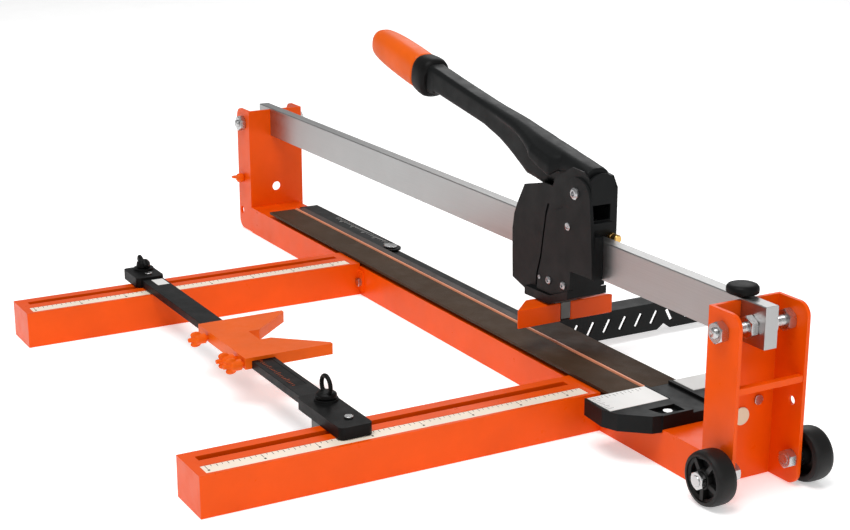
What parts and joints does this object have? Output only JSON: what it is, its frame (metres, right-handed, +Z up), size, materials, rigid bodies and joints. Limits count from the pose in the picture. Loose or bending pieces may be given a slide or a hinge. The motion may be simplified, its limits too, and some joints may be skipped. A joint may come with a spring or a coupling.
{
  "type": "tile cutter",
  "caption": "Manual rail tile cutter with lever carriage, sprung table, two front arms, sliding crossbar with angle stop and transport wheels.",
  "frame": {"origin": "centre of the base beam's flat underside, on the floor, under the cut line and midway between the end webs", "axes": "+X along the cutting line towards the transport wheels, +Y to the rear, away from the two front arms, +Z up"},
  "size_m": [1.0428, 0.685, 0.3085],
  "materials": {
    "orange_paint": "gloss",
    "orange_plastic": "satin",
    "rail_steel": "satin",
    "zinc_hardware": "bright",
    "black_casting": "satin",
    "black_plastic": "satin",
    "table_rubber": "matt",
    "strip_brown": "matt",
    "ridge_salmon": "satin",
    "pale_grey": "satin",
    "label_white": "gloss",
    "tape_cream": "satin",
    "dark_steel": "satin",
    "tool_steel": "bright",
    "brass": "bright",
    "ivory_plastic": "satin",
    "wheel_rubber": "matt"
  },
  "bodies": {
    "frame": {"base_beam": "orange_paint", "left_bracket": "orange_paint", "right_bracket": "orange_paint", "guide_rail": "rail_steel", "rail_bumper": "black_plastic", "tie_rods": "zinc_hardware", "tie_rod_nuts": "zinc_hardware", "carry_bars": "orange_paint", "web_plug": "ivory_plastic", "breaking_ridge": "ridge_salmon", "table_springs": "dark_steel", "spring_cups": "dark_steel", "table_rear_strip": "strip_brown", "table_rear_plate": "table_rubber", "swing_bed": "black_plastic", "end_head": "black_casting", "head_scale_plates": "label_white", "frame_screws": "zinc_hardware", "arm_left": "orange_paint", "arm_right": "orange_paint", "arm_scale_tapes": "tape_cream", "swing_pivots": "zinc_hardware", "wheel_axles": "zinc_hardware"},
    "front_table": {"table_front": "table_rubber"},
    "crossbar": {"crossbar": "black_casting", "crossbar_scale": "black_plastic", "clamp_block_left": "black_plastic", "clamp_block_right": "black_plastic", "clamp_shoes": "dark_steel", "clamp_screws": "zinc_hardware"},
    "knob_left": {"clamp_knob_left": "black_plastic"},
    "knob_right": {"clamp_knob_right": "black_plastic"},
    "angle_stop": {"angle_stop": "orange_plastic"},
    "bracket_wing_screw": {"bracket_wing_screw": "orange_plastic"},
    "stop_screw_1": {"stop_screw_1": "orange_plastic"},
    "stop_screw_2": {"stop_screw_2": "orange_plastic"},
    "stop_screw_3": {"stop_screw_3": "orange_plastic"},
    "swing_left": {"swing_arm_left": "black_casting"},
    "swing_right": {"swing_arm_right": "black_casting"},
    "carriage": {"carriage_body": "black_casting", "cheek_front": "black_casting", "cheek_rear": "black_casting", "cheek_screws": "dark_steel", "roller_axles": "dark_steel", "lower_glides": "ivory_plastic", "adjuster_screw": "brass", "return_springs": "dark_steel", "lever_pivot_bolt": "dark_steel"},
    "roller_left": {"roller_left": "tool_steel"},
    "roller_right": {"roller_right": "tool_steel"},
    "plunger": {"plunger": "dark_steel", "cutter_holder": "dark_steel", "cutter_pin": "dark_steel", "breaker_foot": "orange_paint"},
    "cutter": {"cutter_wheel": "tool_steel"},
    "lever": {"lever": "black_casting", "lever_collar": "black_plastic", "lever_grip": "orange_plastic"},
    "wheel_front": {"wheel_front": "wheel_rubber"},
    "wheel_rear": {"wheel_rear": "wheel_rubber"}
  },
  "joints": [
    {"name": "carriage_slide", "type": "slide", "parent": "frame", "child": "carriage", "axis": [1, 0, 0], "range_m": [-0.6, 0.15]},
    {"name": "roller_left_spin", "type": "hinge", "parent": "carriage", "child": "roller_left", "pos_m": [0.168, 0, 0.1728], "axis": [0, 1, 0], "continuous": true},
    {"name": "roller_right_spin", "type": "hinge", "parent": "carriage", "child": "roller_right", "pos_m": [0.2415, 0, 0.1728], "axis": [0, 1, 0], "continuous": true},
    {"name": "lever_pivot", "type": "hinge", "parent": "carriage", "child": "lever", "pos_m": [0.252, 0, 0.2068], "axis": [0, -1, 0], "range_deg": [0, 14]},
    {"name": "plunger_slide", "type": "slide", "parent": "carriage", "child": "plunger", "axis": [0, 0, -1], "range_m": [0, 0.012], "stiffness_N_per_m": 400, "springref_m": -0.03, "deforming": ["return_springs"]},
    {"name": "cutter_spin", "type": "hinge", "parent": "plunger", "child": "cutter", "pos_m": [0.2, 0, 0.073], "axis": [0, 1, 0], "continuous": true},
    {"name": "table_press", "type": "slide", "parent": "frame", "child": "front_table", "axis": [0, 0, -1], "range_m": [0, 0.002], "stiffness_N_per_m": 6000, "springref_m": -0.0005, "deforming": ["table_springs"]},
    {"name": "crossbar_slide", "type": "slide", "parent": "frame", "child": "crossbar", "axis": [0, 1, 0], "range_m": [-0.11, 0.16]},
    {"name": "knob_left_turn", "type": "hinge", "parent": "crossbar", "child": "knob_left", "pos_m": [-0.222, -0.278, 0.055], "axis": [0, 0, 1], "continuous": true},
    {"name": "knob_right_turn", "type": "hinge", "parent": "crossbar", "child": "knob_right", "pos_m": [0.248, -0.278, 0.055], "axis": [0, 0, 1], "continuous": true},
    {"name": "angle_stop_slide", "type": "slide", "parent": "crossbar", "child": "angle_stop", "axis": [1, 0, 0], "range_m": [-0.12, 0.105]},
    {"name": "stop_screw_1_turn", "type": "hinge", "parent": "angle_stop", "child": "stop_screw_1", "pos_m": [0.02, -0.306, 0.043], "axis": [0, 1, 0], "continuous": true},
    {"name": "stop_screw_2_turn", "type": "hinge", "parent": "angle_stop", "child": "stop_screw_2", "pos_m": [0.092, -0.306, 0.043], "axis": [0, 1, 0], "continuous": true},
    {"name": "stop_screw_3_turn", "type": "hinge", "parent": "angle_stop", "child": "stop_screw_3", "pos_m": [0.11, -0.306, 0.043], "axis": [0, 1, 0], "continuous": true},
    {"name": "bracket_wing_screw_turn", "type": "hinge", "parent": "frame", "child": "bracket_wing_screw", "pos_m": [-0.49975, -0.042, 0.07], "axis": [0, 1, 0], "continuous": true},
    {"name": "swing_left_fold", "type": "hinge", "parent": "frame", "child": "swing_left", "pos_m": [-0.19975, 0.025, 0.037], "axis": [0, 0, 1], "range_deg": [-90, 0]},
    {"name": "swing_right_fold", "type": "hinge", "parent": "frame", "child": "swing_right", "pos_m": [0.122, 0.025, 0.037], "axis": [0, 0, 1], "range_deg": [0, 90]},
    {"name": "wheel_front_spin", "type": "hinge", "parent": "frame", "child": "wheel_front", "pos_m": [0.505, -0.052, 0.0245], "axis": [0, 1, 0], "continuous": true},
    {"name": "wheel_rear_spin", "type": "hinge", "parent": "frame", "child": "wheel_rear", "pos_m": [0.505, 0.052, 0.0245], "axis": [0, 1, 0], "continuous": true}
  ],
  "couplings": [
    {"joint": "plunger_slide", "follows": "lever_pivot", "m_per_rad": 0.048},
    {"joint": "roller_left_spin", "follows": "carriage_slide", "rad_per_m": 133.33},
    {"joint": "roller_right_spin", "follows": "carriage_slide", "rad_per_m": 133.33}
  ]
}
